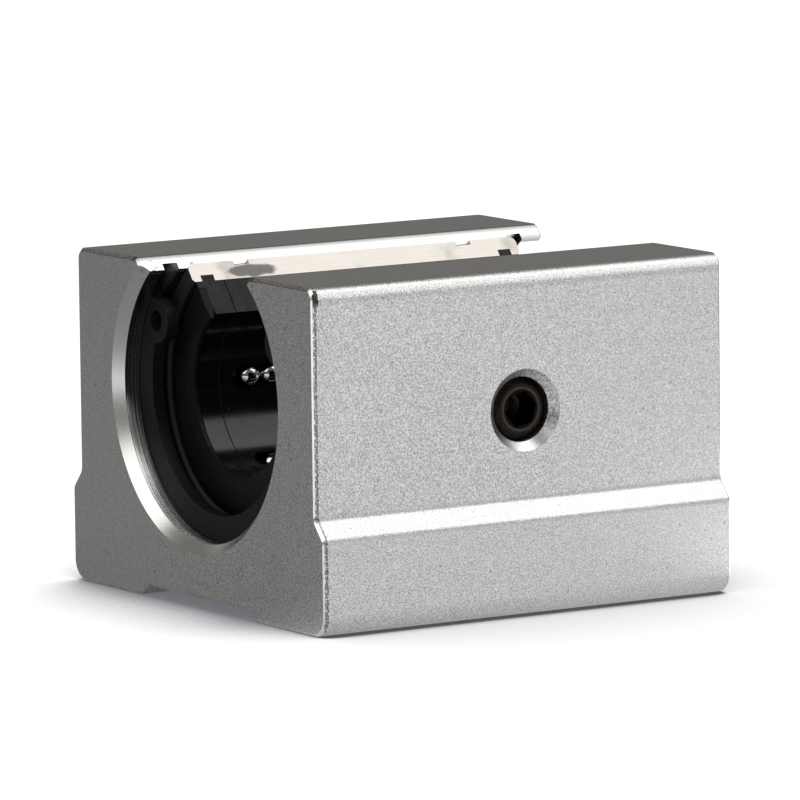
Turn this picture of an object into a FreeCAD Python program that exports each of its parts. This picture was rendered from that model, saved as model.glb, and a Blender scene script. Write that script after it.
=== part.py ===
import FreeCAD, Part
import math
import os

# Open linear bearing block for a supported round shaft, in millimetres.
# X is the width, Y runs along the shaft and Z is up. The origin is the centre of the mounting face.
# The block stands on its mounting face with the rail opening upwards, and the adjusting screw is on +X.

# Shaft
shaft_diameter = 16.0
shaft_clearance = 0.03
shaft_height = 20.0

# Block outline
block_length = 45.0
base_width = 45.0
flange_step = 1.5
block_height = 32.0
flange_height = 9.0
flange_slope_height = 1.7
foot_recess_depth = 1.0
foot_recess_width = 18.1
foot_recess_slope = 1.4
top_edge_radius = 1.1
base_edge_radius = 2.0
flange_edge_radius = 1.0
flange_root_radius = 1.0
foot_edge_radius = 0.4
face_edge_break = 0.25

# Rail opening and bore of the block
opening_angle = 80.0
opening_edge_radius = 0.45
front_mouth_chamfer = 0.9
rear_mouth_chamfer = 0.3

# Tapped mounting holes in the base
mount_spacing_x = 32.0
mount_spacing_y = 30.0
mount_tap_diameter = 4.2
mount_hole_depth = 12.0
mount_mouth_chamfer = 0.4
drill_point_angle = 118.0

# Circlips that hold the bearing in the block
circlip_thickness = 1.2
circlip_groove_diameter = 29.4
circlip_groove_width = 1.6
circlip_groove_inset = 2.45
circlip_side_gap = 0.05
circlip_seat_gap = 0.05
circlip_inner_diameter = 23.2
circlip_inner_offset = 0.1
circlip_gap_angle = 110.0
circlip_ear_radius = 2.1
circlip_ear_centre_radius = 12.2
circlip_ear_angle = 62.0
circlip_hole_diameter = 2.0

# Open ball bearing
bearing_diameter = 28.0
bearing_fit_clearance = 0.02
bearing_front_play = 0.8
bearing_rear_play = 0.1
bearing_opening_angle = 74.0
shell_inner_diameter = 24.0
shell_end_radius = 0.7
shell_inner_end_chamfer = 0.25
snap_groove_inset = 5.1
snap_groove_width = 1.6
snap_groove_diameter = 27.0
end_groove_inset = 1.0
end_groove_width = 1.4
end_groove_diameter = 25.3

# Ball circuits
ball_diameter = 2.381
ball_gap = 0.008
raceway_gap = 0.01
channel_clearance = 0.1
knuckle_relief = 0.02
circuit_count = 4
circuit_pitch_angle = 60.0
first_load_angle = 180.0
row_half_angle = 8.8
return_radius = 10.4
turn_inset = 4.25
ramp_length = 1.5
first_ball_inset = 7.0
land_half_angle = 6.5
land_side_clearance = 0.1

# Retainer, end caps and end seals
retainer_bore_diameter = 16.8
retainer_fit_clearance = 0.05
end_cap_inset = 0.35
end_cap_length = 3.0
seal_inset = 0.3
seal_thickness = 0.8
seal_rim_width = 0.65
seal_fit_clearance = 0.05
seal_lip_thickness = 0.35
seal_lip_slope = 1.2
seal_face_dish = 0.12

# Adjusting set screw
screw_diameter = 6.0
screw_recess = 0.8
screw_running_clearance = 0.05
screw_height = 19.0
screw_offset = 0.55
screw_tip_gap = 0.2
screw_tip_chamfer = 0.6
screw_face_chamfer = 0.65
socket_width = 3.0
socket_depth = 2.6
socket_turn = 12.0
countersink_diameter = 7.7

# Derived sizes
half_length = block_length / 2
front_end = -half_length
body_width = base_width - 2 * flange_step
bore_radius = bearing_diameter / 2
shaft_radius = shaft_diameter / 2 + shaft_clearance
ball_radius = ball_diameter / 2
load_radius = shaft_radius + ball_radius
land_radius = load_radius + ball_radius + raceway_gap
channel_radius = ball_radius + channel_clearance
shell_outer_radius = bore_radius - bearing_fit_clearance
shell_inner_radius = shell_inner_diameter / 2
retainer_outer_radius = shell_inner_radius - retainer_fit_clearance
retainer_bore_radius = retainer_bore_diameter / 2
circlip_outer_radius = circlip_groove_diameter / 2 - circlip_seat_gap
front_circlip_start = front_end + circlip_groove_inset + circlip_side_gap
rear_circlip_start = half_length - circlip_groove_inset - circlip_side_gap - circlip_thickness
bearing_front = front_circlip_start + circlip_thickness + bearing_front_play
bearing_rear = rear_circlip_start - bearing_rear_play
bearing_length = bearing_rear - bearing_front
seal_outer_radius = retainer_outer_radius - seal_rim_width - seal_fit_clearance
window_inset = turn_inset + ramp_length
cap_inner_inset = end_cap_inset + end_cap_length
overcut = 2.0

X_AXIS = FreeCAD.Vector(1, 0, 0)
Y_AXIS = FreeCAD.Vector(0, 1, 0)
Z_AXIS = FreeCAD.Vector(0, 0, 1)


def point(x, y, z):
    return FreeCAD.Vector(x, y, z)


def polar(radius, angle, y=0.0, centre_height=shaft_height):
    """Point at a radius and angle round the shaft axis. Angle 0 is +X and 90 degrees is up."""
    turn = math.radians(angle)
    return point(radius * math.cos(turn), y, centre_height + radius * math.sin(turn))


def cylinder_y(radius, start, length, x=0.0, z=shaft_height):
    return Part.makeCylinder(radius, length, point(x, start, z), Y_AXIS)


def tube_y(outer_radius, inner_radius, start, length):
    return cylinder_y(outer_radius, start, length).cut(cylinder_y(inner_radius, start, length))


def sector(centre_angle, half_angle, reach, start, length):
    """Wedge-shaped prism from the shaft axis outwards, between two radial planes."""
    low = polar(reach, centre_angle - half_angle, start)
    high = polar(reach, centre_angle + half_angle, start)
    centre = polar(0.0, 0.0, start)
    outline = Part.makePolygon([centre, low, high, centre])
    return Part.Face(outline).extrude(point(0, length, 0))


def opening_wedge(angle, start, length):
    """Wedge that opens a round piece upwards for the rail."""
    return sector(90.0, angle / 2, 2 * block_height, start - overcut, length + 2 * overcut)


def rounded_edges(corners, y):
    """Edges of an open outline in an XZ plane. Each corner is (x, z, radius)."""
    spots = [point(x, y, z) for x, z, radius in corners]
    edges = []
    last = spots[0]
    for index in range(1, len(corners) - 1):
        corner = spots[index]
        radius = corners[index][2]
        if radius <= 0:
            edges.append(Part.LineSegment(last, corner).toShape())
            last = corner
            continue
        towards_last = (spots[index - 1] - corner).normalize()
        towards_next = (spots[index + 1] - corner).normalize()
        half_turn = towards_last.getAngle(towards_next) / 2
        setback = radius / math.tan(half_turn)
        arc_start = corner + towards_last * setback
        arc_end = corner + towards_next * setback
        bisector = (towards_last + towards_next).normalize()
        arc_middle = corner + bisector * (radius / math.sin(half_turn) - radius)
        edges.append(Part.LineSegment(last, arc_start).toShape())
        edges.append(Part.Arc(arc_start, arc_middle, arc_end).toShape())
        last = arc_end
    edges.append(Part.LineSegment(last, spots[-1]).toShape())
    return edges


def prism(corners, start, length):
    """Extruded section. The outline closes from its last corner to its first."""
    edges = rounded_edges(corners, start)
    first = point(corners[0][0], start, corners[0][1])
    last = point(corners[-1][0], start, corners[-1][1])
    if first.distanceToPoint(last) > 0:
        edges.append(Part.LineSegment(last, first).toShape())
    return Part.Face(Part.Wire(edges)).extrude(point(0, length, 0))


def mirrored(right):
    """Corners of a right half, from the middle of the top or above, followed by its mirror image."""
    return right + [(-x, z, radius) for x, z, radius in reversed(right)]


def block_outline():
    """Outer section: flanged sides, rounded edges and two feet with a shallow recess between them."""
    right = [
        (0.0, block_height, 0.0),
        (body_width / 2, block_height, top_edge_radius),
        (body_width / 2, flange_height + flange_slope_height, flange_root_radius),
        (base_width / 2, flange_height, flange_edge_radius),
        (base_width / 2, 0.0, base_edge_radius),
        (foot_recess_width / 2 + foot_recess_slope, 0.0, foot_edge_radius),
        (foot_recess_width / 2, foot_recess_depth, foot_edge_radius),
    ]
    return prism(mirrored(right), front_end, block_length)


def rail_opening():
    """Cutter with radial flanks from the shaft axis, which leaves the top edges rounded."""
    top_half = (block_height - shaft_height) * math.tan(math.radians(opening_angle / 2))
    reach = top_half + base_width
    right = [
        (0.0, shaft_height, 0.0),
        (top_half, block_height, opening_edge_radius),
        (reach, block_height, 0.0),
        (reach, 2 * block_height, 0.0),
    ]
    return prism(mirrored(right), front_end - overcut, block_length + 2 * overcut)


def end_face_edges(solid):
    """Edges round both end faces, apart from the bore arc."""
    found = []
    for edge in solid.Edges:
        box = edge.BoundBox
        on_end = box.YLength < 1e-6 and abs(abs(box.YMin) - half_length) < 1e-6
        on_bore = isinstance(edge.Curve, Part.Circle) and abs(edge.Curve.Radius - bore_radius) < 1e-6
        if on_end and not on_bore:
            found.append(edge)
    return found


def bore_mouth_cutter(end, inwards, chamfer):
    """Cone that chamfers the bore at one end. It starts just outside the face."""
    outer = bore_radius + chamfer + overcut
    height = chamfer + overcut
    start = point(0, end - inwards * overcut, shaft_height)
    return Part.makeCone(outer, bore_radius, height, start, Y_AXIS * inwards)


def circlip_groove(start):
    return tube_y(circlip_groove_diameter / 2, bore_radius - overcut, start, circlip_groove_width)


def mounting_hole(x, y):
    """Tap-size hole from the base, with a drill point and a small mouth chamfer."""
    radius = mount_tap_diameter / 2
    hole = Part.makeCylinder(radius, mount_hole_depth, point(x, y, 0), Z_AXIS)
    point_height = radius / math.tan(math.radians(drill_point_angle / 2))
    tip = Part.makeCone(radius, 0, point_height, point(x, y, mount_hole_depth), Z_AXIS)
    mouth_radius = radius + mount_mouth_chamfer
    mouth = Part.makeCone(mouth_radius, radius, mount_mouth_chamfer, point(x, y, 0), Z_AXIS)
    return hole.fuse([tip, mouth])


def screw_hole():
    """Through hole for the set screw in the +X wall, with its countersink."""
    radius = screw_diameter / 2 + screw_running_clearance
    side = body_width / 2
    start = point(bore_radius / 2, screw_offset, screw_height)
    hole = Part.makeCylinder(radius, side, start, X_AXIS)
    mouth_radius = countersink_diameter / 2
    depth = mouth_radius - radius
    bottom = point(side - depth, screw_offset, screw_height)
    mouth = Part.makeCone(radius, mouth_radius + overcut, depth + overcut, bottom, X_AXIS)
    return hole.fuse(mouth)


def make_housing():
    bore = cylinder_y(bore_radius, front_end - overcut, block_length + 2 * overcut)
    block = block_outline().cut([bore, rail_opening()])
    block = block.makeChamfer(face_edge_break, end_face_edges(block))
    cutters = [
        bore_mouth_cutter(front_end, 1, front_mouth_chamfer),
        bore_mouth_cutter(half_length, -1, rear_mouth_chamfer),
        circlip_groove(front_end + circlip_groove_inset),
        circlip_groove(half_length - circlip_groove_inset - circlip_groove_width),
        screw_hole(),
    ]
    for side_x in (-1, 1):
        for side_y in (-1, 1):
            cutters.append(mounting_hole(side_x * mount_spacing_x / 2, side_y * mount_spacing_y / 2))
    return block.cut(cutters)


def make_circlip(start):
    """Internal retaining ring, widest opposite its gap, with an eared end on each side of the opening."""
    disc = cylinder_y(circlip_outer_radius, start, circlip_thickness)
    through_start = start - overcut
    through_length = circlip_thickness + 2 * overcut
    inner_height = shaft_height + circlip_inner_offset
    inside = cylinder_y(circlip_inner_diameter / 2, through_start, through_length, 0.0, inner_height)
    ring = disc.cut(inside).cut(opening_wedge(circlip_gap_angle, start, circlip_thickness))
    holes = []
    for ear_angle in (90.0 - circlip_ear_angle, 90.0 + circlip_ear_angle):
        centre = polar(circlip_ear_centre_radius, ear_angle)
        ear = cylinder_y(circlip_ear_radius, start, circlip_thickness, centre.x, centre.z)
        ring = ring.fuse(ear.common(disc))
        holes.append(cylinder_y(circlip_hole_diameter / 2, through_start, through_length, centre.x, centre.z))
    return ring.cut(holes).removeSplitter()


def load_angles():
    """Angles of the loaded ball rows, from one side of the rail opening round the bottom to the other."""
    return [first_load_angle + index * circuit_pitch_angle for index in range(circuit_count)]


def make_shell():
    """Hardened outer cylinder, with raceway lands inside, grooved at its ends and cut open for the rail."""
    blank = cylinder_y(shell_outer_radius, bearing_front, bearing_length)
    rims = [edge for edge in blank.Edges if isinstance(edge.Curve, Part.Circle)]
    blank = blank.makeFillet(shell_end_radius, rims)
    shell = blank.cut(cylinder_y(shell_inner_radius, bearing_front, bearing_length))
    land_start = bearing_front + window_inset
    land_length = bearing_length - 2 * window_inset
    for angle in load_angles():
        land = tube_y(shell_inner_radius + bearing_fit_clearance, land_radius, land_start, land_length)
        wedge = sector(angle, land_half_angle, bearing_diameter, land_start, land_length)
        shell = shell.fuse(land.common(wedge))
    cutters = []
    for start in (bearing_front + snap_groove_inset, bearing_rear - snap_groove_inset - snap_groove_width):
        cutters.append(tube_y(bore_radius + overcut, snap_groove_diameter / 2, start, snap_groove_width))
    for start in (bearing_front + end_groove_inset, bearing_rear - end_groove_inset - end_groove_width):
        cutters.append(cylinder_y(end_groove_diameter / 2, start, end_groove_width))
    mouth_radius = shell_inner_radius + shell_inner_end_chamfer
    for end, inwards in ((bearing_front, 1), (bearing_rear, -1)):
        start = point(0, end, shaft_height)
        inward = Y_AXIS * inwards
        mouth = Part.makeCone(mouth_radius, shell_inner_radius, shell_inner_end_chamfer, start, inward)
        cutters.append(mouth)
    cutters.append(opening_wedge(bearing_opening_angle, bearing_front, bearing_length))
    return shell.cut(cutters)


def circuit_stations(load_angle):
    """Corner points of one ball loop: load row, ramps up, return row, in the order that balls travel."""
    back_angle = load_angle - 2 * row_half_angle
    front_window = bearing_front + window_inset
    rear_window = bearing_rear - window_inset
    front_turn = bearing_front + turn_inset
    rear_turn = bearing_rear - turn_inset
    return {
        "load_front": polar(load_radius, load_angle, front_window),
        "load_rear": polar(load_radius, load_angle, rear_window),
        "rise_rear": polar(return_radius, load_angle, rear_turn),
        "back_rear": polar(return_radius, back_angle, rear_turn),
        "back_front": polar(return_radius, back_angle, front_turn),
        "rise_front": polar(return_radius, load_angle, front_turn),
    }


def circuit_segments(load_angle):
    """Straight runs and half-round turns of one loop, each as (kind, start, end, outward direction)."""
    spot = circuit_stations(load_angle)
    return [
        ("line", spot["load_front"], spot["load_rear"], None),
        ("line", spot["load_rear"], spot["rise_rear"], None),
        ("turn", spot["rise_rear"], spot["back_rear"], Y_AXIS),
        ("line", spot["back_rear"], spot["back_front"], None),
        ("turn", spot["back_front"], spot["rise_front"], Y_AXIS * -1),
        ("line", spot["rise_front"], spot["load_front"], None),
    ]


def segment_length(segment):
    kind, start, end, outward = segment
    span = start.distanceToPoint(end)
    return span if kind == "line" else math.pi * span / 2


def point_on_loop(segments, distance):
    """Ball centre at a distance along the loop, counted from the start of the load row."""
    total = sum(segment_length(segment) for segment in segments)
    left = distance % total
    for kind, start, end, outward in segments:
        length = segment_length((kind, start, end, outward))
        if left > length:
            left -= length
            continue
        if kind == "line":
            return start + (end - start) * (left / length)
        centre = (start + end) * 0.5
        turn = math.pi * left / length
        return centre + (start - centre) * math.cos(turn) + outward * (start - centre).Length * math.sin(turn)
    return segments[0][1]


def step_to_next_ball(segments, distance, spacing):
    """Distance along the loop at which the next ball centre is one spacing away in a straight line."""
    here = point_on_loop(segments, distance)
    low = distance + spacing * 0.999
    high = distance + spacing * math.pi / 2
    for _ in range(40):
        middle = (low + high) / 2
        if here.distanceToPoint(point_on_loop(segments, middle)) < spacing:
            low = middle
        else:
            high = middle
    return high


def ball_centres(load_angle):
    """As many touching balls as the loop holds, set out from the first one on the load row."""
    segments = circuit_segments(load_angle)
    total = sum(segment_length(segment) for segment in segments)
    spacing = ball_diameter + ball_gap
    first = first_ball_inset - window_inset
    distance = first
    centres = [point_on_loop(segments, distance)]
    while True:
        distance = step_to_next_ball(segments, distance, spacing)
        spot = point_on_loop(segments, distance)
        if distance > first + total - spacing * 0.9 or spot.distanceToPoint(centres[0]) < spacing * 0.999:
            break
        centres.append(spot)
    return centres


def make_ball_circuit(load_angle):
    return Part.makeCompound([Part.makeSphere(ball_radius, centre) for centre in ball_centres(load_angle)])


def cut_in_turn(body, cutters):
    for cutter in cutters:
        body = body.cut(cutter)
    return body


def run_cutter(start, end):
    """Round channel between two points. Its knuckles are a little wider, so that joining runs meet."""
    direction = end - start
    channel = Part.makeCylinder(channel_radius, direction.Length, start, direction)
    knuckle = channel_radius + knuckle_relief
    return channel.fuse([Part.makeSphere(knuckle, start), Part.makeSphere(knuckle, end)])


def turn_cutter(start, end, outward):
    """Half-round channel that carries the balls from one row to the next."""
    centre = (start + end) * 0.5
    radius = (start - centre).Length
    plane_normal = (start - centre).cross(outward)
    ring = Part.makeTorus(radius, channel_radius, centre, plane_normal)
    size = 2 * (radius + channel_radius)
    keep = Part.makeBox(2 * size, size, 2 * size, point(centre.x - size, centre.y, centre.z - size))
    if outward.y < 0:
        keep.translate(point(0, -size, 0))
    return ring.common(keep)


def channel_cutters():
    cutters = []
    for angle in load_angles():
        for kind, start, end, outward in circuit_segments(angle):
            if kind == "line":
                cutters.append(run_cutter(start, end))
            else:
                cutters.append(turn_cutter(start, end, outward))
    return cutters


def make_retainer():
    """Moulded cage between the end caps, slotted for the raceway lands and bored for the ball loops."""
    start = bearing_front + cap_inner_inset
    length = bearing_length - 2 * cap_inner_inset
    cage = tube_y(retainer_outer_radius, retainer_bore_radius, start, length)
    cutters = channel_cutters()
    side_angle = math.degrees(land_side_clearance / land_radius)
    for angle in load_angles():
        wedge = sector(angle, land_half_angle + side_angle, bearing_diameter, start, length)
        relief = tube_y(bearing_diameter, land_radius - land_side_clearance, start, length)
        cutters.append(wedge.common(relief))
    cutters.append(opening_wedge(bearing_opening_angle, start, length))
    return cut_in_turn(cage, cutters)


def make_end_cap(end, inwards):
    """Cap that turns the balls round. Its ridge snaps into the shell and its mouth holds the seal."""
    def ring(outer_radius, inner_radius, inset, width):
        start = end + inwards * inset if inwards > 0 else end - inset - width
        return tube_y(outer_radius, inner_radius, start, width)

    ridge_inset = end_groove_inset + seal_fit_clearance
    ridge_width = end_groove_width - 2 * seal_fit_clearance
    ridge_radius = end_groove_diameter / 2 - seal_fit_clearance
    mouth_radius = seal_outer_radius + seal_fit_clearance
    mouth_depth = seal_inset + seal_thickness - end_cap_inset
    body = ring(retainer_outer_radius, retainer_bore_radius, end_cap_inset, end_cap_length)
    body = body.fuse(ring(ridge_radius, mouth_radius, ridge_inset, ridge_width))
    cutters = channel_cutters()
    cutters.append(ring(mouth_radius, retainer_bore_radius / 2, end_cap_inset, mouth_depth))
    low_side = min(end, end + inwards * cap_inner_inset)
    cutters.append(opening_wedge(bearing_opening_angle, low_side, cap_inner_inset))
    return cut_in_turn(body, cutters)


def make_seal(end, inwards):
    """Rubber end seal: a flat ring whose thin inner lip closes on the shaft."""
    front = seal_inset
    back = seal_inset + seal_thickness
    lip_front = front + seal_face_dish
    lip_back = lip_front + seal_lip_thickness
    section = [
        (shaft_radius, lip_front),
        (shaft_radius + seal_lip_slope, front),
        (seal_outer_radius, front),
        (seal_outer_radius, back),
        (shaft_radius + seal_lip_slope, back),
        (shaft_radius, lip_back),
    ]
    spots = [point(radius, end + inwards * inset, shaft_height) for radius, inset in section]
    outline = Part.makePolygon(spots + spots[:1])
    seal = Part.Face(outline).revolve(point(0, 0, shaft_height), Y_AXIS, 360)
    return seal.cut(opening_wedge(bearing_opening_angle, min(end, end + inwards * back), back))


def hex_prism(width, depth, mouth):
    """Hexagonal prism that runs from the mouth plane inwards along -X."""
    reach = width / 2 / math.cos(math.radians(30))
    spots = []
    for index in range(7):
        turn = math.radians(60 * index + socket_turn)
        spots.append(point(mouth, screw_offset + reach * math.cos(turn), screw_height + reach * math.sin(turn)))
    return Part.Face(Part.makePolygon(spots)).extrude(point(-depth, 0, 0))


def make_set_screw():
    """Flat-point set screw, bevelled at both ends, with a hexagon socket outside."""
    radius = screw_diameter / 2
    tip = shell_outer_radius + screw_tip_gap
    mouth = body_width / 2 - screw_recess
    body = Part.makeCylinder(radius, mouth - tip, point(tip, screw_offset, screw_height), X_AXIS)
    tip_edges = [edge for edge in body.Edges if edge.BoundBox.XMax < tip + 1e-6]
    body = body.makeChamfer(screw_tip_chamfer, tip_edges)
    mouth_edges = [edge for edge in body.Edges if edge.BoundBox.XMin > mouth - 1e-6]
    body = body.makeChamfer(screw_face_chamfer, mouth_edges)
    socket_radius = socket_width / 2
    point_height = socket_radius / math.tan(math.radians(drill_point_angle / 2))
    bottom = point(mouth - socket_depth, screw_offset, screw_height)
    drill_tip = Part.makeCone(socket_radius, 0, point_height, bottom, X_AXIS * -1)
    return body.cut([hex_prism(socket_width, socket_depth, mouth), drill_tip])


def build():
    nodes = {
        "housing": make_housing(),
        "set_screw": make_set_screw(),
        "front_circlip": make_circlip(front_circlip_start),
        "rear_circlip": make_circlip(rear_circlip_start),
        "bearing_shell": make_shell(),
        "ball_retainer": make_retainer(),
        "front_end_cap": make_end_cap(bearing_front, 1),
        "rear_end_cap": make_end_cap(bearing_rear, -1),
        "front_seal": make_seal(bearing_front, 1),
        "rear_seal": make_seal(bearing_rear, -1),
    }
    for number, angle in enumerate(load_angles(), start=1):
        nodes["ball_circuit_" + str(number)] = make_ball_circuit(angle)
    return nodes


os.makedirs("parts", exist_ok=True)
for name, shape in build().items():
    print(name, "solids", len(shape.Solids), "volume", round(shape.Volume, 2), "valid", shape.isValid())
    shape.exportStep("parts/" + name + ".step")
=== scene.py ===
# %% [markdown]
# # An open linear bearing block
# The block is a short piece of flanged aluminium extrusion, bored along its length and cut open at the
# top, so that it can slide along a round shaft that stands on a rail. Inside it sits a steel bearing
# with four closed loops of balls. This lesson loads the finished solids, sets up the camera, gives every
# solid its finish, and lays the floor and the lamps. It adds no shapes of its own to the block.

# %% Load the solids
import math
import bmesh
import bpy
from mathutils import Matrix, Vector

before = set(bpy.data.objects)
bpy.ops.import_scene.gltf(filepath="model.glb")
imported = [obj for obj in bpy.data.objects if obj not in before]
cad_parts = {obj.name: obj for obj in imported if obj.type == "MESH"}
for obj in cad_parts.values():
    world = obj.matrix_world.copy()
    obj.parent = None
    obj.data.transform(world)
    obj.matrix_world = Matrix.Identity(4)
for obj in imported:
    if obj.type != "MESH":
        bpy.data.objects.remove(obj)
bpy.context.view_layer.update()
print("solids:", sorted(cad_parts))

# %% [markdown]
# The photograph was taken with a long lens from slightly above, so the block's long edges hardly
# converge. The camera is placed from the direction to it, its tilt, its distance and the point that it
# looks at, with a small shift that brings the block to its place in the picture. Its axes are worked out
# from them, because a tilt about the line of sight is easier to give that way than with three Euler
# angles.

# %% Camera
shaft_height = 0.020
look_at = Vector((0.0, 0.0, 0.0165))
azimuth = math.radians(57.551)
elevation = math.radians(7.659)
tilt = math.radians(0.681)
distance = 0.8015
look_at_offset = (-0.000152, 0.0012243)

towards_camera = Vector((
    math.sin(azimuth) * math.cos(elevation),
    -math.cos(azimuth) * math.cos(elevation),
    math.sin(elevation),
))
level_right = Vector((math.cos(azimuth), math.sin(azimuth), 0.0))
level_down = (-towards_camera).cross(level_right)
right = level_right * math.cos(tilt) + level_down * math.sin(tilt)
down = level_down * math.cos(tilt) - level_right * math.sin(tilt)
eye = look_at - right * look_at_offset[0] - down * look_at_offset[1] + towards_camera * distance

camera_data = bpy.data.cameras.new("product_camera")
camera_data.lens = 382.5
camera_data.sensor_width = 36.0
camera_data.clip_start = 0.05
camera_data.clip_end = 20.0
camera = bpy.data.objects.new("product_camera", camera_data)
axes = Matrix((right, -down, towards_camera)).transposed()
camera.matrix_world = Matrix.Translation(eye) @ axes.to_4x4()
bpy.context.scene.collection.objects.link(camera)
bpy.context.scene.camera = camera
print("camera at", [round(v, 4) for v in eye])

# %% [markdown]
# Several finishes share an effect, so each effect is a node group with named inputs and outputs. Small
# helpers make the nodes and join them, which keeps the recipes below short.

# %% Helpers for node trees
def add_node(tree, kind, label=None, **values):
    node = tree.nodes.new(kind)
    if label:
        node.label = label
    for key, value in values.items():
        setattr(node, key, value)
    return node


def feed(tree, value, socket):
    if isinstance(value, bpy.types.NodeSocket):
        tree.links.new(value, socket)
    else:
        socket.default_value = value


def math_node(tree, operation, *values):
    node = add_node(tree, "ShaderNodeMath", operation=operation)
    for index, value in enumerate(values):
        feed(tree, value, node.inputs[index])
    return node.outputs[0]


def smooth_step(tree, value, low, high):
    node = add_node(tree, "ShaderNodeMapRange", interpolation_type="SMOOTHSTEP", clamp=True)
    feed(tree, value, node.inputs["Value"])
    feed(tree, low, node.inputs["From Min"])
    feed(tree, high, node.inputs["From Max"])
    return node.outputs["Result"]


def mix_colour(tree, factor, first, second):
    node = add_node(tree, "ShaderNodeMix", data_type="RGBA")
    feed(tree, factor, node.inputs[0])
    feed(tree, first, node.inputs[6])
    feed(tree, second, node.inputs[7])
    return node.outputs[2]


def mix_value(tree, factor, first, second):
    node = add_node(tree, "ShaderNodeMix", data_type="FLOAT")
    feed(tree, factor, node.inputs[0])
    feed(tree, first, node.inputs[2])
    feed(tree, second, node.inputs[3])
    return node.outputs[0]


def noise(tree, vector, scale, detail=2.0, roughness=0.5):
    node = add_node(tree, "ShaderNodeTexNoise")
    feed(tree, vector, node.inputs["Vector"])
    node.inputs["Scale"].default_value = scale
    node.inputs["Detail"].default_value = detail
    node.inputs["Roughness"].default_value = roughness
    return node.outputs["Fac"]


def scaled(tree, value, factor, offset):
    return math_node(tree, "MULTIPLY_ADD", value, factor, offset)


def above(tree, value, limit):
    return math_node(tree, "GREATER_THAN", value, limit)


def below(tree, value, limit):
    return math_node(tree, "LESS_THAN", value, limit)


def magnitude(tree, value):
    return math_node(tree, "ABSOLUTE", value)


def opposite(tree, mask):
    return math_node(tree, "SUBTRACT", 1.0, mask)


def product(tree, first, *others):
    for other in others:
        first = math_node(tree, "MULTIPLY", first, other)
    return first


def largest(tree, first, *others):
    for other in others:
        first = math_node(tree, "MAXIMUM", first, other)
    return first


def length_2d(tree, first, second):
    squares = math_node(tree, "ADD", product(tree, first, first), product(tree, second, second))
    return math_node(tree, "SQRT", squares)


def split_axes(tree, vector):
    node = add_node(tree, "ShaderNodeSeparateXYZ")
    feed(tree, vector, node.inputs[0])
    return node.outputs


def join_axes(tree, *values):
    node = add_node(tree, "ShaderNodeCombineXYZ")
    for value, socket in zip(values, node.inputs):
        feed(tree, value, socket)
    return node.outputs[0]


def face_normal(tree):
    geometry = add_node(tree, "ShaderNodeNewGeometry")
    return split_axes(tree, geometry.outputs["True Normal"])


def grey(level):
    return (level, level, level, 1.0)


def new_group(name, inputs, outputs):
    group = bpy.data.node_groups.new(name, "ShaderNodeTree")
    for label, kind in inputs:
        group.interface.new_socket(name=label, in_out="INPUT", socket_type=kind)
    for label, kind in outputs:
        group.interface.new_socket(name=label, in_out="OUTPUT", socket_type=kind)
    entry = group.nodes.new("NodeGroupInput")
    exit_node = group.nodes.new("NodeGroupOutput")
    return group, entry.outputs, exit_node.inputs


def place_group(tree, group, **values):
    node = add_node(tree, "ShaderNodeGroup", group.name)
    node.node_tree = group
    for key, value in values.items():
        feed(tree, value, node.inputs[key])
    return node.outputs


def new_material(name, metallic, roughness):
    material = bpy.data.materials.new(name)
    material.use_nodes = True
    tree = material.node_tree
    shader = tree.nodes["Principled BSDF"]
    shader.inputs["Metallic"].default_value = metallic
    shader.inputs["Roughness"].default_value = roughness
    place = add_node(tree, "ShaderNodeTexCoord").outputs["Object"]
    return material, tree, shader, place


def add_bump(tree, shader, height, strength, distance_m):
    bump = add_node(tree, "ShaderNodeBump")
    bump.inputs["Strength"].default_value = strength
    bump.inputs["Distance"].default_value = distance_m
    feed(tree, height, bump.inputs["Height"])
    tree.links.new(bump.outputs["Normal"], shader.inputs["Normal"])


print("node helpers ready")

# %% [markdown]
# ## Shared effects
# Blasted metal has a grain of tiny dents about a tenth of a millimetre wide, with a few brighter and
# darker grains among them. Noises of different size give the dents, and a threshold on two more picks
# out the sparkling grains and the pits.

# %% Blasted grain
blasted_grain, entry, leave = new_group(
    "blasted_grain",
    [("Place", "NodeSocketVector"), ("Sparkle", "NodeSocketFloat"), ("Pits", "NodeSocketFloat")],
    [("Tone", "NodeSocketFloat"), ("Height", "NodeSocketFloat")],
)
tree = blasted_grain
fine = noise(tree, entry["Place"], 10500.0, 1.0)
coarse = noise(tree, entry["Place"], 3000.0, 1.0)
cloud = noise(tree, entry["Place"], 130.0)
spark = smooth_step(tree, noise(tree, entry["Place"], 5600.0, 0.0), 0.70, 0.80)
pit = smooth_step(tree, noise(tree, entry["Place"], 2600.0, 0.0), 0.79, 0.86)
tone = scaled(tree, fine, 4.5, -1.90)
tone = scaled(tree, coarse, 0.15, tone)
tone = scaled(tree, cloud, 0.10, tone)
tone = scaled(tree, spark, entry["Sparkle"], tone)
tone = math_node(tree, "SUBTRACT", tone, product(tree, pit, entry["Pits"]))
feed(tree, tone, leave["Tone"])
height = scaled(tree, coarse, 0.3, fine)
height = math_node(tree, "SUBTRACT", height, product(tree, pit, 1.2))
feed(tree, height, leave["Height"])
print("blasted_grain:", len(tree.nodes), "nodes")

# %% [markdown]
# A turned face carries fine rings round its axis. The group takes a place whose Z is that axis. It turns
# it into radius, depth along the axis and a little of the angle, and a noise in those coordinates is
# drawn out into rings by itself.

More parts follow.
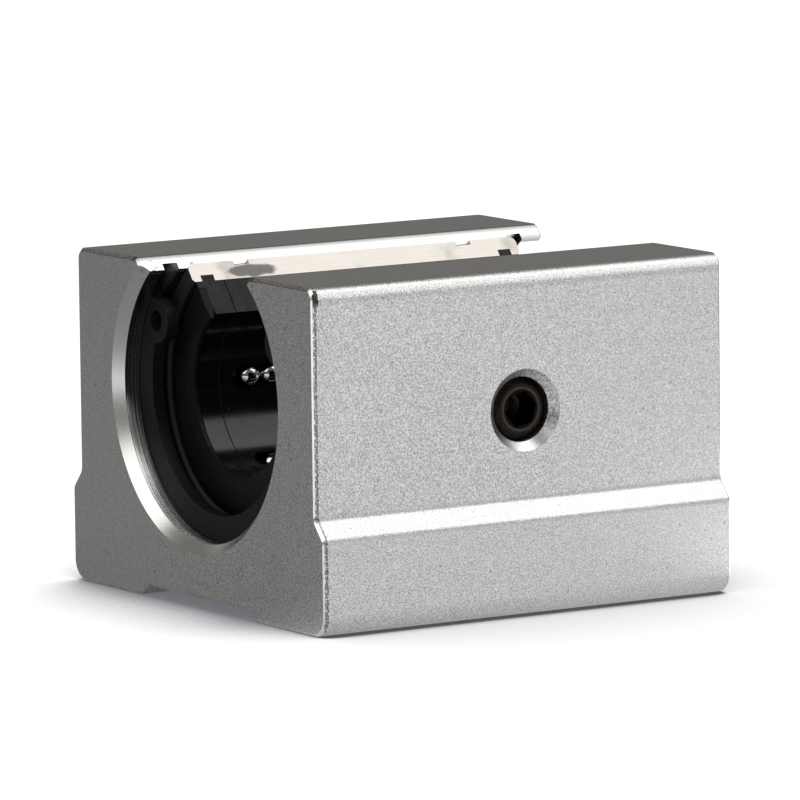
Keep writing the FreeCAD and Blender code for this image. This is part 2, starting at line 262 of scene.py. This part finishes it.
# %% Turning marks
turned_rings, entry, leave = new_group(
    "turned_rings",
    [("Place", "NodeSocketVector"), ("Rings per metre", "NodeSocketFloat")],
    [("Tone", "NodeSocketFloat")],
)
tree = turned_rings
across_x, across_y, along_axis = split_axes(tree, entry["Place"])
angle = math_node(tree, "ARCTAN2", across_y, across_x)
rings = join_axes(
    tree,
    product(tree, length_2d(tree, across_x, across_y), entry["Rings per metre"]),
    product(tree, along_axis, entry["Rings per metre"]),
    product(tree, math_node(tree, "SINE", angle), 0.9),
)
feed(tree, noise(tree, rings, 1.0, 3.0, 0.6), leave["Tone"])
print("turned_rings:", len(tree.nodes), "nodes")


def rings_round(tree, axis_place, rings_per_metre):
    values = {"Place": axis_place, "Rings per metre": rings_per_metre}
    return place_group(tree, turned_rings, **values)["Tone"]


# %% [markdown]
# The tapped holes are plain in the solids. A thread is one long helix, so its height at a point is a
# wave along the axis that is shifted by the angle round it.

# %% Thread relief
thread_relief, entry, leave = new_group(
    "thread_relief",
    [("Place", "NodeSocketVector"), ("Pitch", "NodeSocketFloat")],
    [("Height", "NodeSocketFloat")],
)
tree = thread_relief
across_x, across_y, along_axis = split_axes(tree, entry["Place"])
angle = math_node(tree, "ARCTAN2", across_y, across_x)
turns = math_node(tree, "DIVIDE", along_axis, entry["Pitch"])
phase = scaled(tree, angle, 1.0 / (2.0 * math.pi), turns)
feed(tree, math_node(tree, "PINGPONG", phase, 0.5), leave["Height"])
print("thread_relief:", len(tree.nodes), "nodes")

# %% [markdown]
# ## The block's finish
# The extrusion is blasted and anodised all over before the last cuts are made. The bore, the rail
# opening, the countersink and the broken edges are cut afterwards, so they are brighter and show the
# tool's marks. One material covers the whole solid, and masks worked out from the place and the normal
# choose between the two finishes. All lengths are in metres.

# %% Places on the block
half_length = 0.0225
screw_axis_height = 0.019
screw_axis_y = 0.00055
screw_pitch = 0.001
mount_x = 0.016
mount_y = 0.015
mount_pitch = 0.0008
rear_wall_start = 0.0187
flare_start = -0.0196

block_finish, tree, shader, place = new_material("blasted_aluminium", 1.0, 0.36)
x, y, z = split_axes(tree, place)
normal_x, normal_y, normal_z = face_normal(tree)
end_tilt = magnitude(tree, normal_y)
drop = math_node(tree, "SUBTRACT", z, shaft_height)
radius = length_2d(tree, x, drop)
in_bore = opposite(tree, smooth_step(tree, radius, 0.01482, 0.01486))

inside_opening = below(tree, magnitude(tree, x), 0.0108)
on_flank = product(tree, inside_opening, above(tree, z, 0.0304), below(tree, normal_z, 0.93))

screw_drop = math_node(tree, "SUBTRACT", z, screw_axis_height)
screw_side = math_node(tree, "SUBTRACT", y, screw_axis_y)
from_screw = length_2d(tree, screw_side, screw_drop)
near_screw = opposite(tree, smooth_step(tree, from_screw, 0.00382, 0.00387))
at_screw = product(tree, near_screw, above(tree, x, 0.0135))

on_break = product(tree, above(tree, end_tilt, 0.35), below(tree, end_tilt, 0.95))
on_break = product(tree, on_break, opposite(tree, at_screw))

hole_x = math_node(tree, "SUBTRACT", magnitude(tree, x), mount_x)
hole_y = math_node(tree, "SUBTRACT", magnitude(tree, y), mount_y)
from_hole = length_2d(tree, hole_x, hole_y)
in_hole = product(tree, below(tree, from_hole, 0.0027), below(tree, z, 0.0138))

cut = largest(tree, in_bore, on_flank, at_screw, on_break, in_hole)
at_mouth = product(tree, on_break, smooth_step(tree, radius, 0.0153, 0.0152))
rear_wall = product(tree, in_bore, above(tree, y, rear_wall_start))
smooth_cut = largest(tree, on_flank, at_mouth, rear_wall)
deep = product(tree, in_bore, opposite(tree, smooth_cut))
low_in_bore = smooth_step(tree, drop, 0.0, -0.007)
print("places on the block:", len(tree.nodes), "nodes")

# %% [markdown]
# The last cut across the near end has thrown up a ragged dark burr along its upright edges, which grows
# into a black patch under the top corner. A fainter line of dots runs along the top of the end face.

# %% Burr
from_end = math_node(tree, "SUBTRACT", half_length, magnitude(tree, y))
at_corner = smooth_step(tree, z, 0.0299, 0.0307)
ragged = noise(tree, place, 3000.0, 1.0)
burr_reach = scaled(tree, ragged, 0.0003, scaled(tree, at_corner, 0.00022, 0.00031))
on_burr = product(
    tree,
    above(tree, magnitude(tree, normal_x), 0.6),
    below(tree, from_end, burr_reach),
    above(tree, from_end, 0.00013),
    above(tree, radius, 0.0165),
    below(tree, y, 0.0),
)
dots = smooth_step(tree, noise(tree, place, 6200.0, 1.0), 0.30, 0.56)
filled = largest(tree, dots, product(tree, at_corner, 0.97))
burr = product(tree, on_burr, filled, scaled(tree, at_corner, 0.2, 0.8))
top_line = product(tree, above(tree, end_tilt, 0.98), above(tree, z, 0.03164))
top_line = product(tree, top_line, scaled(tree, dots, 0.4, 0.3))
burr = largest(tree, burr, top_line)
print("burr ready")

# %% [markdown]
# The grain shows most on the near part of the long side and on the right of the end face, and hardly on
# the top. The turning marks run round the shaft in the bore and round the screw in the countersink.

# %% Grain and turning marks
side_gain = scaled(tree, smooth_step(tree, y, -0.012, 0.02), -0.45, 1.0)
end_gain = scaled(tree, smooth_step(tree, x, -0.012, 0.014), 1.15, 0.40)
on_end = above(tree, end_tilt, 0.9)
grain_gain = mix_value(tree, on_end, side_gain, end_gain)
grain_gain = mix_value(tree, above(tree, normal_z, 0.9), grain_gain, 0.3)
grain = place_group(tree, blasted_grain, Place=place, Sparkle=0.8, Pits=1.1)

bore_rings = rings_round(tree, join_axes(tree, x, drop, y), 5200.0)
screw_rings = rings_round(tree, join_axes(tree, y, screw_drop, x), 7000.0)
ring_tone = mix_value(tree, at_screw, bore_rings, screw_rings)
ring_tone = mix_value(tree, product(tree, smooth_cut, 0.85), ring_tone, 0.5)
hole_place = join_axes(tree, hole_x, hole_y, z)
hole_thread = place_group(tree, thread_relief, Place=hole_place, Pitch=mount_pitch)
print("grain and turning marks ready")

# %% [markdown]
# The colours are laid over one another, from the widest to the smallest. First come the blasted face and
# the cut faces, with painted shade deep in the bore, then the countersink with its scratches and a painted
# highlight on its lower part, the worn and shaded parts of the opening's flank, the bright broken edges
# and a painted highlight on the lower part of the bore's mouth. The burr comes last.

# %% Block colour
grain_tone = mix_value(tree, grain_gain, 0.5, grain["Tone"])
blasted_colour = mix_colour(tree, grain_tone, (0.48, 0.479, 0.473, 1.0), (1.0, 0.997, 0.987, 1.0))
ring_step = smooth_step(tree, ring_tone, 0.3, 0.7)
bright_cut = mix_colour(tree, ring_step, (0.50, 0.50, 0.49, 1.0), (0.94, 0.94, 0.93, 1.0))
# Painted shade: deep in the bore the cut faces take a darker copy of the bright cut colour.
deep_bore_shade_colour = mix_colour(tree, ring_step, grey(0.22), (0.48, 0.48, 0.47, 1.0))
cut_colour = mix_colour(tree, deep, bright_cut, deep_bore_shade_colour)

scratches = smooth_step(tree, noise(tree, place, 4200.0, 2.0, 0.6), 0.35, 0.65)
sink_colour = mix_colour(tree, scratches, (0.26, 0.26, 0.27, 1.0), (0.74, 0.74, 0.75, 1.0))
# Painted highlight: the lower part of the countersink is made near white.
sink_painted_highlight = smooth_step(tree, screw_drop, -0.0016, -0.0030)
sink_colour = mix_colour(tree, sink_painted_highlight, sink_colour, (0.98, 0.98, 0.97, 1.0))
cut_colour = mix_colour(tree, product(tree, at_screw, 0.85), cut_colour, sink_colour)
cut_colour = mix_colour(tree, smooth_cut, cut_colour, (0.82, 0.815, 0.80, 1.0))

flank_end = product(tree, smooth_step(tree, y, 0.008, 0.020), smooth_step(tree, z, 0.0316, 0.0306))
flank_rim = smooth_step(tree, z, 0.0313, 0.0319)
flank_worn = smooth_step(tree, noise(tree, place, 1400.0, 3.0, 0.6), 0.56, 0.66)
flank_worn = product(tree, flank_worn, smooth_step(tree, y, -0.010, -0.018))
flank_shade = product(tree, largest(tree, flank_end, flank_rim, flank_worn), on_flank, 0.75)
cut_colour = mix_colour(tree, flank_shade, cut_colour, grey(0.13))

outer_break = product(tree, on_break, above(tree, magnitude(tree, x), 0.0205))
cut_colour = mix_colour(tree, outer_break, cut_colour, grey(0.98))
# Painted highlight: the lower part of the bore's mouth takes the bright cut colour in place of the painted
# shade of the deep bore.
mouth_painted_highlight = product(tree, smooth_step(tree, y, -0.0198, -0.0212), low_in_bore, deep)
cut_colour = mix_colour(tree, mouth_painted_highlight, cut_colour, bright_cut)
metal_colour = mix_colour(tree, cut, blasted_colour, cut_colour)
feed(tree, mix_colour(tree, burr, metal_colour, (0.05, 0.05, 0.045, 1.0)), shader.inputs["Base Color"])

blasted_roughness = scaled(tree, grain["Height"], 0.10, 0.32)
cut_roughness = mix_value(tree, at_screw, scaled(tree, ring_tone, 0.22, 0.16), 0.36)
feed(tree, mix_value(tree, cut, blasted_roughness, cut_roughness), shader.inputs["Roughness"])
print("block colour ready")

# %% [markdown]
# The relief has the same parts. The bore's mouth is flared a little at the bottom, with deeper marks,
# so that it catches the light of the near lamp. The side's top edge rolls over before the rounding
# starts, which makes its bright line as wide as on a blasted part.

# %% Block relief
per_millimetre = 1000.0
ring_relief = product(tree, ring_tone, mix_value(tree, deep, 0.25, 1.1))
into_mouth = largest(tree, scaled(tree, y, -per_millimetre, flare_start * per_millimetre), 0.0)
flare = product(tree, into_mouth, into_mouth, -13.0)
flare = scaled(tree, ring_tone, product(tree, into_mouth, 5.0), flare)
ring_relief = math_node(tree, "ADD", ring_relief, product(tree, flare, deep, low_in_bore))
grain_relief = product(tree, grain["Height"], product(tree, grain_gain, 0.40))
edge_roll = product(tree, smooth_step(tree, z, 0.0303, 0.0314), opposite(tree, on_end))
grain_relief = scaled(tree, edge_roll, -13.0, grain_relief)
relief = mix_value(tree, cut, grain_relief, ring_relief)
relief = mix_value(tree, in_hole, relief, product(tree, hole_thread["Height"], 20.0))
add_bump(tree, shader, relief, 0.5, 0.00004)
print("block material:", len(tree.nodes), "nodes")

# %% [markdown]
# ## The small metal parts
# The set screw is steel with a black oxide coat, which is worn brown in a thin ring round its socket.
# The circlips are phosphated spring steel, matt and darker. Both get a faint grain, and the screw gets
# its thread as a relief on its shank.

# %% Screw and circlip materials
screw_finish, tree, shader, place = new_material("black_oxide_steel", 0.9, 0.38)
x, y, z = split_axes(tree, place)
screw_side = math_node(tree, "SUBTRACT", y, screw_axis_y)
screw_drop = math_node(tree, "SUBTRACT", z, screw_axis_height)
along = join_axes(tree, screw_side, screw_drop, x)
screw_marks = rings_round(tree, along, 9000.0)
grain = place_group(tree, blasted_grain, Place=place, Sparkle=0.5, Pits=0.2)
coat = mix_colour(tree, screw_marks, (0.006, 0.005, 0.004, 1.0), (0.026, 0.021, 0.017, 1.0))
coat = mix_colour(tree, smooth_step(tree, grain["Tone"], 1.1, 1.4), coat, (0.12, 0.10, 0.08, 1.0))
across = length_2d(tree, screw_side, screw_drop)
on_face = above(tree, x, 0.0195)
# Painted shade: the socket is made darker than the rest of the coat.
socket_painted_shade = product(tree, on_face, smooth_step(tree, across, 0.00188, 0.00176))
coat = mix_colour(tree, socket_painted_shade, coat, grey(0.003))
from_rim = magnitude(tree, math_node(tree, "SUBTRACT", across, 0.00198))
worn_rim = product(tree, on_face, smooth_step(tree, from_rim, 0.00017, 0.00005))
worn_rim = product(tree, worn_rim, scaled(tree, screw_marks, 0.6, 0.4))
coat = mix_colour(tree, worn_rim, coat, (0.085, 0.065, 0.052, 1.0))
feed(tree, coat, shader.inputs["Base Color"])
screw_thread = place_group(tree, thread_relief, Place=along, Pitch=screw_pitch)
thread_height = product(tree, screw_thread["Height"], product(tree, below(tree, x, 0.01955), 20.0))
add_bump(tree, shader, math_node(tree, "ADD", thread_height, grain["Height"]), 0.5, 0.00003)

circlip_finish, tree, shader, place = new_material("phosphated_spring_steel", 0.6, 0.5)
shader.inputs["Specular IOR Level"].default_value = 0.3
grain = place_group(tree, blasted_grain, Place=place, Sparkle=0.6, Pits=0.3)
feed(tree, mix_colour(tree, grain["Tone"], grey(0.008), grey(0.036)), shader.inputs["Base Color"])
add_bump(tree, shader, grain["Height"], 0.5, 0.00003)
print("screw and circlip materials ready")

# %% [markdown]
# ## The bearing's steel
# The outer cylinder is hardened and ground, and its cut faces are ground too. They look warmer than the
# aluminium and nearly polished, with faint lines along the bearing and soft grey smudges of oil. One
# smudge is large and lies near the end of the far cut face. The cylinder's ends are painted near black,
# matt and not metallic, as painted shade for the dark inside of the bore. The balls are polished to a
# mirror and need no texture beyond a trace of haze.

# %% Shell and ball materials
half_opening_angle = math.radians(37.0)
cut_face_rise = math.sin(half_opening_angle)
oil_spot_y = -0.0114
oil_spot_radius = 0.01275
oil_spot_length = 0.0030
oil_spot_width = 0.00075

shell_finish, tree, shader, place = new_material("ground_bearing_steel", 1.0, 0.2)
stretch = add_node(tree, "ShaderNodeMapping", "lines along the shaft")
feed(tree, place, stretch.inputs["Vector"])
stretch.inputs["Scale"].default_value = (9000.0, 160.0, 9000.0)
lines = noise(tree, stretch.outputs[0], 1.0, 3.0, 0.6)
x, y, z = split_axes(tree, place)
radius = length_2d(tree, x, math_node(tree, "SUBTRACT", z, shaft_height))
along_spot = product(tree, math_node(tree, "SUBTRACT", y, oil_spot_y), 1.0 / oil_spot_length)
across_spot = product(tree, math_node(tree, "SUBTRACT", radius, oil_spot_radius), 1.0 / oil_spot_width)
spot = math_node(tree, "ADD", product(tree, along_spot, along_spot), product(tree, across_spot, across_spot))
spot = scaled(tree, noise(tree, place, 900.0), 0.9, math_node(tree, "SUBTRACT", spot, 0.45))
oil = product(tree, below(tree, x, 0.0), opposite(tree, smooth_step(tree, spot, 0.5, 1.15)))
smudge = product(tree, smooth_step(tree, noise(tree, place, 170.0, 3.0, 0.55), 0.52, 0.68), 0.4)
smudge = largest(tree, smudge, oil)
ground = mix_colour(tree, lines, (0.40, 0.368, 0.332, 1.0), (0.53, 0.50, 0.46, 1.0))
ground = mix_colour(tree, smudge, ground, (0.15, 0.147, 0.145, 1.0))
on_slant = math_node(tree, "COMPARE", face_normal(tree)[2], cut_face_rise, 0.02)
on_cut = product(tree, on_slant, above(tree, z, 0.029))
# Painted shade: the surfaces near both ends, other than the cut faces, are made near black and matt.
shell_ends_painted_shade = product(tree, above(tree, magnitude(tree, y), 0.0162), opposite(tree, on_cut))
feed(tree, mix_colour(tree, shell_ends_painted_shade, ground, (0.012, 0.012, 0.011, 1.0)), shader.inputs["Base Color"])
feed(tree, opposite(tree, shell_ends_painted_shade), shader.inputs["Metallic"])
ground_roughness = scaled(tree, smudge, 0.2, scaled(tree, lines, 0.12, 0.14))
feed(tree, mix_value(tree, shell_ends_painted_shade, ground_roughness, 0.65), shader.inputs["Roughness"])
add_bump(tree, shader, lines, 0.25, 0.00001)

ball_finish, tree, shader, place = new_material("polished_ball_steel", 1.0, 0.06)
haze = noise(tree, place, 900.0)
ball_colour = mix_colour(tree, haze, (0.55, 0.55, 0.54, 1.0), (0.68, 0.68, 0.67, 1.0))
feed(tree, ball_colour, shader.inputs["Base Color"])
feed(tree, scaled(tree, haze, 0.06, 0.04), shader.inputs["Roughness"])
print("shell and ball materials ready")

# %% [markdown]
# ## Resin and rubber
# The cage and its end caps are moulded in black resin with a gloss that mirrors the lamp above the rail
# opening. The faces where the opening is cut are duller, and a fine matt line marks the joint of each
# cap. The seal is a duller rubber. A low bump of large soft noise keeps the reflections from being
# perfectly straight, as on any moulding.

# %% Resin and rubber materials
front_joint_y = -0.01465
rear_joint_y = 0.01535
half_joint_width = 0.00006

resin_finish, tree, shader, place = new_material("black_resin", 0.0, 0.16)
x, y, z = split_axes(tree, place)
front_joint = math_node(tree, "COMPARE", y, front_joint_y, half_joint_width)
rear_joint = math_node(tree, "COMPARE", y, rear_joint_y, half_joint_width)
on_slant = math_node(tree, "COMPARE", face_normal(tree)[2], cut_face_rise, 0.03)
cut_face = product(tree, on_slant, above(tree, z, 0.026))
uneven = smooth_step(tree, noise(tree, place, 700.0, 3.0, 0.6), 0.35, 0.65)
cut_shine = scaled(tree, uneven, 0.05, 0.13)
feed(tree, mix_value(tree, cut_face, 0.36, cut_shine), shader.inputs["Specular IOR Level"])
flow = noise(tree, place, 260.0)
feed(tree, mix_colour(tree, flow, grey(0.003), grey(0.007)), shader.inputs["Base Color"])
speck = smooth_step(tree, noise(tree, place, 2400.0, 1.0), 0.70, 0.80)
moulded = scaled(tree, speck, 0.25, scaled(tree, flow, 0.12, 0.08))
feed(tree, largest(tree, moulded, front_joint, rear_joint), shader.inputs["Roughness"])
add_bump(tree, shader, flow, 0.15, 0.00002)

rubber_finish, tree, shader, place = new_material("black_seal_rubber", 0.0, 0.42)
shader.inputs["Specular IOR Level"].default_value = 0.12
grain = place_group(tree, blasted_grain, Place=place, Sparkle=0.3, Pits=0.2)
feed(tree, mix_colour(tree, grain["Tone"], grey(0.004), grey(0.012)), shader.inputs["Base Color"])
feed(tree, scaled(tree, grain["Height"], 0.12, 0.34), shader.inputs["Roughness"])
add_bump(tree, shader, grain["Height"], 0.3, 0.00002)
print("resin and rubber materials ready")

# %% [markdown]
# Each solid keeps its mesh and its material slots. Only the material in the slot is exchanged.

# %% Give the solids their materials
pieces_by_finish = [
    (block_finish, ["housing"]),
    (screw_finish, ["set_screw"]),
    (circlip_finish, ["front_circlip", "rear_circlip"]),
    (shell_finish, ["bearing_shell"]),
    (resin_finish, ["ball_retainer", "front_end_cap", "rear_end_cap"]),
    (rubber_finish, ["front_seal", "rear_seal"]),
    (ball_finish, ["ball_circuit_1", "ball_circuit_2", "ball_circuit_3", "ball_circuit_4"]),
]
for finish, node_names in pieces_by_finish:
    for node_name in node_names:
        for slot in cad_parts[node_name].material_slots:
            slot.material = finish
        print(node_name, "gets", finish.name)

# %% [markdown]
# ## Floor, lamps and background
# The block stands on a white sheet. Bare metal shows what it mirrors: its long side mirrors the bright
# right part of the sheet, its end and its top mirror the dimmer left part and the grey room, and the
# wall of the bore at the far end mirrors the sheet behind the block. So the sheet glows with those tones
# for the metal, as painted light. What the camera sees is white, with a painted soft shadow near the
# block that is shaped by how open the sheet is there, and a painted dark line where the block stands.

# %% Floor
floor_mesh = bpy.data.meshes.new("white_sheet")
sheet = bmesh.new()
bmesh.ops.create_grid(sheet, x_segments=1, y_segments=1, size=3.0)
bmesh.ops.translate(sheet, verts=sheet.verts, vec=(0.0, 0.0, -0.00002))
sheet.to_mesh(floor_mesh)
sheet.free()
floor = bpy.data.objects.new("white_sheet", floor_mesh)
bpy.context.scene.collection.objects.link(floor)
floor_finish, tree, shader, place = new_material("white_sheet", 0.0, 0.9)
x, y, z = split_axes(tree, place)

# Painted light: for the metal the sheet glows brighter on the right, in front to the right and behind the
# block, and dim elsewhere.
to_right = scaled(tree, x, 0.95, product(tree, y, 0.12))
lit_right = smooth_step(tree, to_right, 0.0, 0.035)
mirrored_tone = mix_colour(tree, lit_right, (0.105, 0.102, 0.104, 1.0), grey(0.60))
to_front = scaled(tree, x, 0.534, product(tree, y, -0.835))
lit_front = product(tree, smooth_step(tree, to_front, 0.07, 0.12), smooth_step(tree, x, 0.02, 0.07))
mirrored_tone = mix_colour(tree, lit_front, mirrored_tone, (0.98, 0.98, 1.0, 1.0))
lit_back = product(
    tree,
    smooth_step(tree, y, 0.024, 0.034),
    below(tree, y, 0.10),
    below(tree, magnitude(tree, x), 0.05),
)
mirrored_tone = mix_colour(tree, lit_back, mirrored_tone, grey(1.5))


def open_share(tree, reach):
    node = add_node(tree, "ShaderNodeAmbientOcclusion", samples=16)
    node.inputs["Distance"].default_value = reach
    return node.outputs["AO"]


# Painted shadow: for the camera the sheet's glow is darkened near the block, more in front of the end than
# beside the side, and nearly black in a thin line where the block stands.
open_floor = open_share(tree, 0.040)
before_side = mix_colour(tree, open_floor, (0.24, 0.24, 0.27, 1.0), grey(1.14))
open_end = smooth_step(tree, open_floor, 0.46, 0.86)
before_end = mix_colour(tree, open_end, (0.18, 0.18, 0.20, 1.0), grey(1.12))
beside = smooth_step(tree, x, 0.008, 0.024)
shaded_tone = mix_colour(tree, beside, before_end, before_side)
floor_contact_painted_shadow = mix_colour(tree, beside, (0.15, 0.15, 0.165, 1.0), grey(0.03))
clear_of_block = smooth_step(tree, open_share(tree, 0.008), 0.40, 0.60)
shaded_tone = mix_colour(tree, clear_of_block, floor_contact_painted_shadow, shaded_tone)

seen_by_camera = add_node(tree, "ShaderNodeLightPath").outputs["Is Camera Ray"]
feed(tree, mix_colour(tree, seen_by_camera, grey(0.25), grey(0.12)), shader.inputs["Base Color"])
feed(tree, mix_colour(tree, seen_by_camera, mirrored_tone, shaded_tone), shader.inputs["Emission Color"])
shader.inputs["Emission Strength"].default_value = 0.95
floor_mesh.materials.append(floor_finish)
print("floor laid")

# %% [markdown]
# One large soft lamp stands behind the block and above it, a weaker one on the right lights the far end
# of the side, and one on the near side lights the end face. The room is grey to the metal and white to
# the camera.

# %% Lamps and background
lamp_aim = Vector((0.0, 0.0, 0.02))


def soft_lamp(name, place, size, watts):
    data = bpy.data.lights.new(name, "AREA")
    data.shape = "RECTANGLE"
    data.size, data.size_y = size
    data.energy = watts
    lamp = bpy.data.objects.new(name, data)
    lamp.location = place
    lamp.rotation_euler = (lamp_aim - Vector(place)).to_track_quat("-Z", "Y").to_euler()
    bpy.context.scene.collection.objects.link(lamp)


soft_lamp("overhead_lamp", (0.25, 0.37, 0.55), (0.50, 0.50), 1.45)
soft_lamp("right_lamp", (0.75, 0.45, 0.14), (0.50, 0.50), 0.46)
soft_lamp("front_lamp", (0.05, -0.50, 0.50), (0.75, 0.50), 1.55)

world = bpy.data.worlds.new("grey_room")
bpy.context.scene.world = world
world.use_nodes = True
tree = world.node_tree
seen_by_camera = add_node(tree, "ShaderNodeLightPath").outputs["Is Camera Ray"]
room_tone = mix_colour(tree, seen_by_camera, (0.150, 0.147, 0.139, 1.0), grey(1.0))
feed(tree, room_tone, tree.nodes["Background"].inputs["Color"])
bpy.context.scene.view_settings.view_transform = "Standard"
print("lamps and background ready")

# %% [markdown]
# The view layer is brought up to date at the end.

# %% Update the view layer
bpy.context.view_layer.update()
